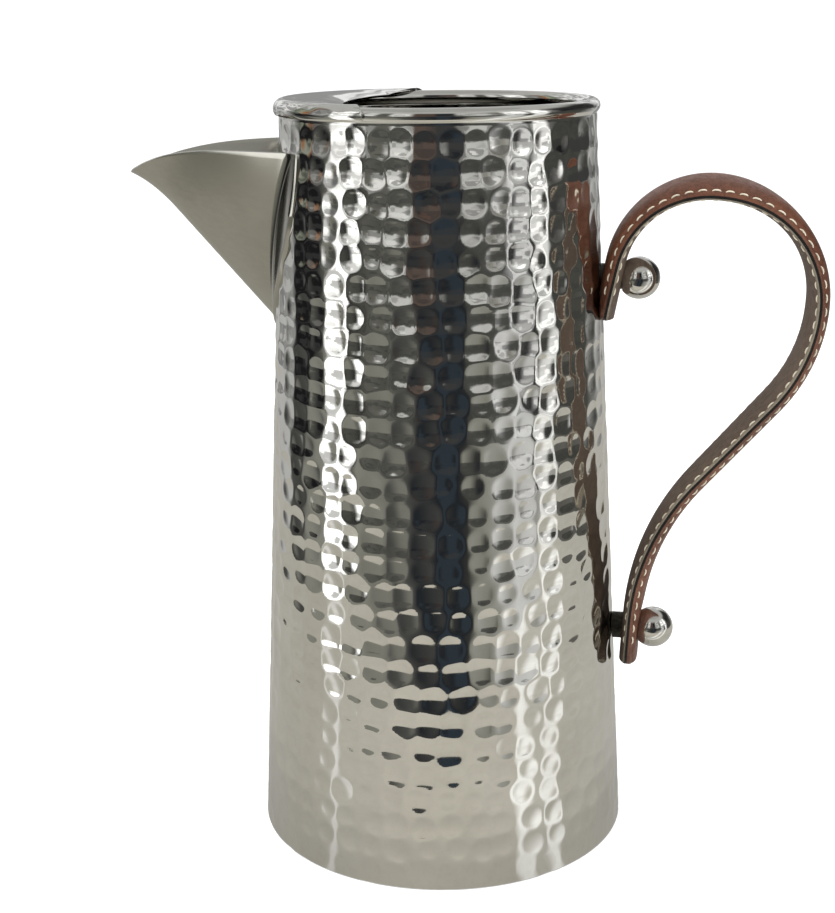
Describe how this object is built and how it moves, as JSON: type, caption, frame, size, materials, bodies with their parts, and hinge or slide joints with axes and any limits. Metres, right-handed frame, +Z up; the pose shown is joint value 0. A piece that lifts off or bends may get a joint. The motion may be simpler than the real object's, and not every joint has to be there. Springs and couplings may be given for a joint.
{
  "type": "water pitcher",
  "caption": "Tall tapered hammered steel water jug with a rolled rim, ice guard, beaked spout and a stitched leather strap handle held by ball nuts.",
  "frame": {"origin": "centre of the flat underside, on the surface the jug stands on", "axes": "+Z up along the jug's axis, +X to the handle, -X to the spout, Y across"},
  "size_m": [0.231, 0.1274, 0.2508],
  "materials": {
    "polished_steel": "mirror-polished stainless steel, hammered on the body",
    "satin_steel": "satin brushed stainless steel",
    "brown_leather": "smooth reddish-brown waxed leather with dark dyed edges",
    "grey_leather": "matt grey-brown lining leather with a pale cut edge",
    "thread": "waxed cream sewing thread",
    "rubber": "matt black sealing rubber"
  },
  "bodies": {
    "root": {"body_shell": "polished_steel", "base_plate": "satin_steel", "rim_wire": "satin_steel", "ice_guard": "polished_steel", "spout": "satin_steel", "handle_core": "satin_steel", "leather_outer": "brown_leather", "leather_inner": "grey_leather", "stitching_front": "thread", "stitching_back": "thread", "upper_screw": "polished_steel", "lower_screw": "polished_steel", "upper_seal": "rubber", "lower_seal": "rubber", "upper_spacer": "polished_steel", "lower_spacer": "polished_steel", "upper_ball_nut": "polished_steel", "lower_ball_nut": "polished_steel"}
  },
  "joints": []
}
